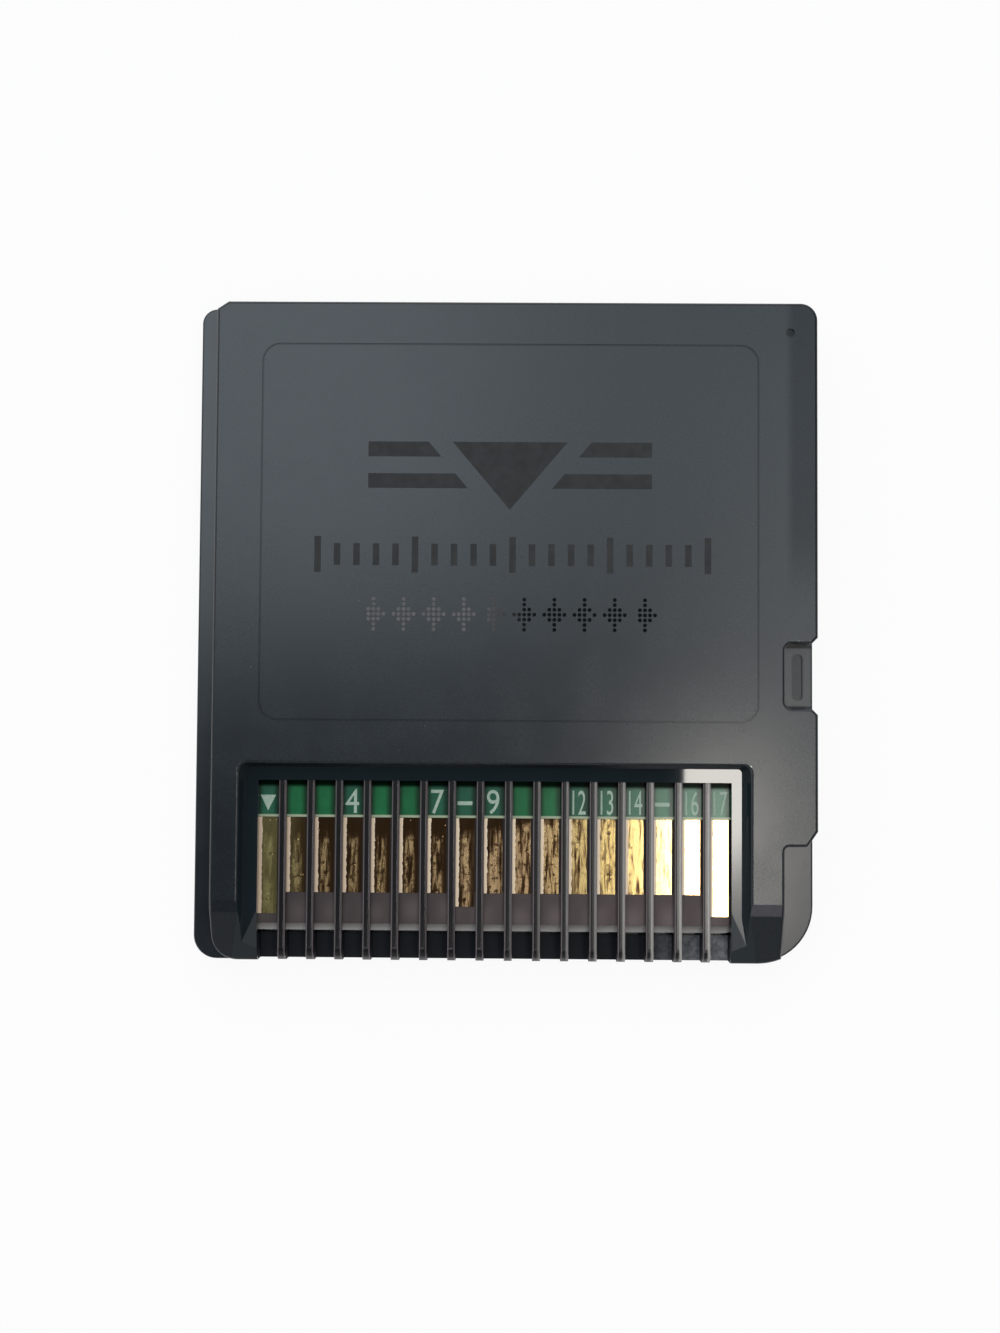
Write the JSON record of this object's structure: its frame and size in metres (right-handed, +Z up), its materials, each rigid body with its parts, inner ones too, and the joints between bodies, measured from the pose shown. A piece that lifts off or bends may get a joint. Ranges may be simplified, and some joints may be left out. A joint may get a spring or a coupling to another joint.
{
  "type": "game cartridge",
  "caption": "Flat game card with a ledge, a latch notch, a keyed corner and a ribbed recess that guards a row of gold edge contacts on a board between moulded half shells.",
  "frame": {"origin": "middle of the card, on the plane of the label side that it lies on", "axes": "+X across the card towards the latch notch, +Y along it towards the grip end, so the contact end points to -Y, and +Z up out of the contact side"},
  "size_m": [0.033, 0.035, 0.0038],
  "materials": {
    "shell_plastic": "moulded with a fine even texture, polished in the contact recess",
    "board_laminate": "bare glass-fibre laminate with a sanded bevel",
    "solder_mask_green": "glossy green lacquer",
    "contact_gold": "gold plate, burnished by use",
    "chip_resin": "moulded epoxy",
    "tinned_leads": "bright tin plate",
    "capacitor_ceramic": "fired ceramic",
    "resistor_body": "glazed film on ceramic"
  },
  "bodies": {
    "root": {"front_shell": "shell_plastic", "back_shell": "shell_plastic", "circuit_board": "board_laminate", "solder_mask": "solder_mask_green", "contact_pad_01": "contact_gold", "contact_pad_02": "contact_gold", "contact_pad_03": "contact_gold", "contact_pad_04": "contact_gold", "contact_pad_05": "contact_gold", "contact_pad_06": "contact_gold", "contact_pad_07": "contact_gold", "contact_pad_08": "contact_gold", "contact_pad_09": "contact_gold", "contact_pad_10": "contact_gold", "contact_pad_11": "contact_gold", "contact_pad_12": "contact_gold", "contact_pad_13": "contact_gold", "contact_pad_14": "contact_gold", "contact_pad_15": "contact_gold", "contact_pad_16": "contact_gold", "contact_pad_17": "contact_gold", "rom_chip": "chip_resin", "rom_chip_leads": "tinned_leads", "save_chip": "chip_resin", "save_chip_leads": "tinned_leads", "capacitor_1": "capacitor_ceramic", "capacitor_2": "capacitor_ceramic", "capacitor_3": "capacitor_ceramic", "resistor_1": "resistor_body", "resistor_2": "resistor_body"}
  },
  "joints": []
}
